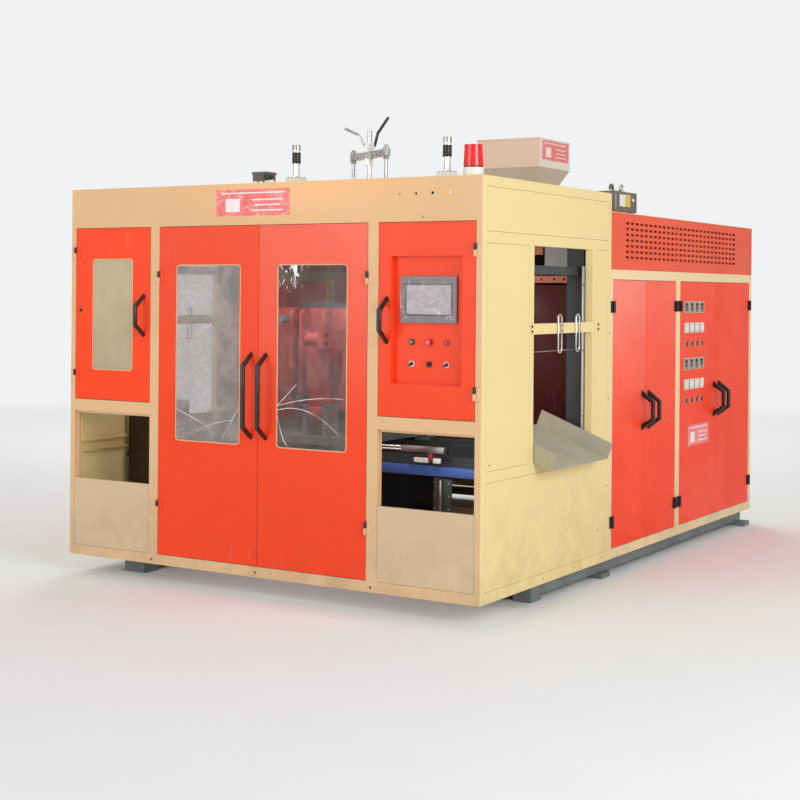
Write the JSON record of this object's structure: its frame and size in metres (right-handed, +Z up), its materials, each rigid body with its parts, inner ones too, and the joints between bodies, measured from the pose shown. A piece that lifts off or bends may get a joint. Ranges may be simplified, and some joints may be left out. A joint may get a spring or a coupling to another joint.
{
  "type": "blow moulding machine",
  "caption": "Double-station extrusion blow moulding machine in a guard cabinet with hinged doors, side chutes, shuttling clamps, blow units and a rear extruder with hopper.",
  "frame": {"origin": "on the floor under the middle of the machine's overall box", "axes": "+X to the right along the front, +Y from the front to the back, +Z up"},
  "size_m": [2.8184, 3.937, 2.575],
  "materials": {
    "cream_front": "satin",
    "cream_side": "satin",
    "orange_paint": "gloss",
    "grey_paint": "satin",
    "dark_grey_paint": "satin",
    "black_metal": "satin",
    "bright_steel": "polished",
    "chute_steel": "satin",
    "white_paint": "satin",
    "blue_paint": "satin",
    "hopper_cream": "satin",
    "red_lens": "translucent",
    "brown_grey_paint": "satin",
    "black_plastic": "matt",
    "green_plastic": "gloss",
    "red_plastic": "gloss",
    "red_casting": "satin",
    "clear_pane": "hazy"
  },
  "bodies": {
    "cabinet": {"front_frame": "cream_front", "front_cabinet_frame": "cream_side", "fixed_panels": "cream_side", "rear_frame": "cream_side", "back_panels": "orange_paint", "vent_panels": "orange_paint", "roof_sheets": "cream_side", "base_frame": "grey_paint", "frame_hinges": "black_metal", "side_crossbars": "cream_side", "crossbar_hooks": "bright_steel", "chutes": "chute_steel", "inner_frame": "dark_grey_paint", "blow_cylinders": "white_paint", "die_head": "bright_steel", "extruder_barrel": "bright_steel", "gearbox": "dark_grey_paint", "drive_motor": "blue_paint", "hopper": "hopper_cream", "lift_frame": "bright_steel", "beacon": "red_lens", "junction_box": "white_paint", "transformer": "brown_grey_paint", "hydraulic_unit": "dark_grey_paint", "electrical_plate": "grey_paint"},
    "front_left_door": {"front_left_door": "orange_paint", "front_left_window": "clear_pane"},
    "centre_left_door": {"centre_left_door": "orange_paint", "centre_left_window": "clear_pane"},
    "centre_right_door": {"centre_right_door": "orange_paint", "centre_right_window": "clear_pane"},
    "control_door": {"control_door": "orange_paint", "touch_screen": "black_plastic", "button_collars": "black_metal"},
    "right_door_1": {"right_door_1": "orange_paint"},
    "left_door_1": {"left_door_1": "orange_paint"},
    "right_door_2": {"right_door_2": "orange_paint"},
    "left_door_2": {"left_door_2": "orange_paint"},
    "right_door_3": {"right_door_3": "orange_paint", "zone_instruments": "black_plastic"},
    "left_door_3": {"left_door_3": "orange_paint"},
    "right_door_4": {"right_door_4": "orange_paint"},
    "left_door_4": {"left_door_4": "orange_paint"},
    "green_button": {"green_button": "green_plastic"},
    "red_button": {"red_button": "red_plastic"},
    "stop_button": {"stop_button": "red_plastic"},
    "left_selector": {"left_selector": "black_plastic"},
    "right_selector": {"right_selector": "black_plastic"},
    "key_switch": {"key_switch": "black_plastic"},
    "hand_nut": {"hand_nut": "bright_steel"},
    "core_screw": {"core_screw": "bright_steel"},
    "left_blow_rod": {"left_blow_rod": "bright_steel"},
    "right_blow_rod": {"right_blow_rod": "bright_steel"},
    "shuttle": {"shuttle_frame": "dark_grey_paint"},
    "left_front_platen": {"left_front_platen": "red_casting"},
    "left_rear_platen": {"left_rear_platen": "red_casting"},
    "left_rocker": {"left_rocker": "red_casting"},
    "right_front_platen": {"right_front_platen": "red_casting"},
    "right_rear_platen": {"right_rear_platen": "red_casting"},
    "right_rocker": {"right_rocker": "red_casting"}
  },
  "joints": [
    {"name": "front_left_door_hinge", "type": "hinge", "parent": "cabinet", "child": "front_left_door", "pos_m": [-1.2515, -1.8975, 1], "axis": [0, 0, -1], "range_deg": [0, 110]},
    {"name": "centre_left_door_hinge", "type": "hinge", "parent": "cabinet", "child": "centre_left_door", "pos_m": [-0.6555, -1.8975, 1], "axis": [0, 0, -1], "range_deg": [0, 110]},
    {"name": "centre_right_door_hinge", "type": "hinge", "parent": "cabinet", "child": "centre_right_door", "pos_m": [0.6555, -1.8975, 1], "axis": [0, 0, 1], "range_deg": [0, 110]},
    {"name": "control_door_hinge", "type": "hinge", "parent": "cabinet", "child": "control_door", "pos_m": [1.2515, -1.8975, 1], "axis": [0, 0, 1], "range_deg": [0, 110]},
    {"name": "right_door_1_hinge", "type": "hinge", "parent": "cabinet", "child": "right_door_1", "pos_m": [1.294, -0.377, 1], "axis": [0, 0, -1], "range_deg": [0, 110]},
    {"name": "left_door_1_hinge", "type": "hinge", "parent": "cabinet", "child": "left_door_1", "pos_m": [-1.294, -0.377, 1], "axis": [0, 0, 1], "range_deg": [0, 110]},
    {"name": "right_door_2_hinge", "type": "hinge", "parent": "cabinet", "child": "right_door_2", "pos_m": [1.294, 0.566, 1], "axis": [0, 0, 1], "range_deg": [0, 85]},
    {"name": "left_door_2_hinge", "type": "hinge", "parent": "cabinet", "child": "left_door_2", "pos_m": [-1.294, 0.566, 1], "axis": [0, 0, -1], "range_deg": [0, 85]},
    {"name": "right_door_3_hinge", "type": "hinge", "parent": "cabinet", "child": "right_door_3", "pos_m": [1.294, 0.639, 1], "axis": [0, 0, -1], "range_deg": [0, 85]},
    {"name": "left_door_3_hinge", "type": "hinge", "parent": "cabinet", "child": "left_door_3", "pos_m": [-1.294, 0.639, 1], "axis": [0, 0, 1], "range_deg": [0, 85]},
    {"name": "right_door_4_hinge", "type": "hinge", "parent": "cabinet", "child": "right_door_4", "pos_m": [1.294, 1.922, 1], "axis": [0, 0, 1], "range_deg": [0, 110]},
    {"name": "left_door_4_hinge", "type": "hinge", "parent": "cabinet", "child": "left_door_4", "pos_m": [-1.294, 1.922, 1], "axis": [0, 0, -1], "range_deg": [0, 110]},
    {"name": "green_button_press", "type": "slide", "parent": "control_door", "child": "green_button", "axis": [0, 1, 0], "range_m": [0, 0.004], "stiffness_N_per_m": 400},
    {"name": "red_button_press", "type": "slide", "parent": "control_door", "child": "red_button", "axis": [0, 1, 0], "range_m": [0, 0.004], "stiffness_N_per_m": 400},
    {"name": "stop_button_press", "type": "slide", "parent": "control_door", "child": "stop_button", "axis": [0, 1, 0], "range_m": [0, 0.004], "stiffness_N_per_m": 400},
    {"name": "left_selector_turn", "type": "hinge", "parent": "control_door", "child": "left_selector", "pos_m": [0.889, -1.8545, 1.212], "axis": [0, -1, 0], "range_deg": [0, 90]},
    {"name": "right_selector_turn", "type": "hinge", "parent": "control_door", "child": "right_selector", "pos_m": [1.081, -1.8545, 1.212], "axis": [0, -1, 0], "range_deg": [0, 90]},
    {"name": "key_switch_turn", "type": "hinge", "parent": "control_door", "child": "key_switch", "pos_m": [0.985, -1.8545, 1.212], "axis": [0, -1, 0], "range_deg": [0, 90]},
    {"name": "hand_nut_turn", "type": "hinge", "parent": "cabinet", "child": "hand_nut", "pos_m": [0, -0.8585, 2.326], "axis": [0, 0, 1], "range_deg": [-360, 360]},
    {"name": "core_screw_lift", "type": "slide", "parent": "cabinet", "child": "core_screw", "axis": [0, 0, 1], "range_m": [-0.005, 0.005]},
    {"name": "left_blow_rod_stroke", "type": "slide", "parent": "cabinet", "child": "left_blow_rod", "axis": [0, 0, -1], "range_m": [0, 0.08]},
    {"name": "right_blow_rod_stroke", "type": "slide", "parent": "cabinet", "child": "right_blow_rod", "axis": [0, 0, -1], "range_m": [0, 0.08]},
    {"name": "shuttle_travel", "type": "slide", "parent": "cabinet", "child": "shuttle", "axis": [1, 0, 0], "range_m": [0, 0.506]},
    {"name": "left_front_platen_close", "type": "slide", "parent": "shuttle", "child": "left_front_platen", "axis": [0, 1, 0], "range_m": [0, 0.12]},
    {"name": "left_rear_platen_close", "type": "slide", "parent": "shuttle", "child": "left_rear_platen", "axis": [0, -1, 0], "range_m": [0, 0.12]},
    {"name": "left_rocker_swing", "type": "hinge", "parent": "shuttle", "child": "left_rocker", "pos_m": [-0.506, -1.3285, 0.9], "axis": [-1, 0, 0], "range_deg": [0, 17.27]},
    {"name": "right_front_platen_close", "type": "slide", "parent": "shuttle", "child": "right_front_platen", "axis": [0, 1, 0], "range_m": [0, 0.12]},
    {"name": "right_rear_platen_close", "type": "slide", "parent": "shuttle", "child": "right_rear_platen", "axis": [0, -1, 0], "range_m": [0, 0.12]},
    {"name": "right_rocker_swing", "type": "hinge", "parent": "shuttle", "child": "right_rocker", "pos_m": [0, -1.3285, 0.9], "axis": [-1, 0, 0], "range_deg": [0, 17.27]}
  ],
  "couplings": [
    {"joint": "core_screw_lift", "follows": "hand_nut_turn", "m_per_rad": 0.0007957},
    {"joint": "left_rear_platen_close", "follows": "left_front_platen_close", "ratio": 1},
    {"joint": "left_rocker_swing", "follows": "left_front_platen_close", "rad_per_m": 2.5088},
    {"joint": "right_rear_platen_close", "follows": "right_front_platen_close", "ratio": 1},
    {"joint": "right_rocker_swing", "follows": "right_front_platen_close", "rad_per_m": 2.5088}
  ]
}
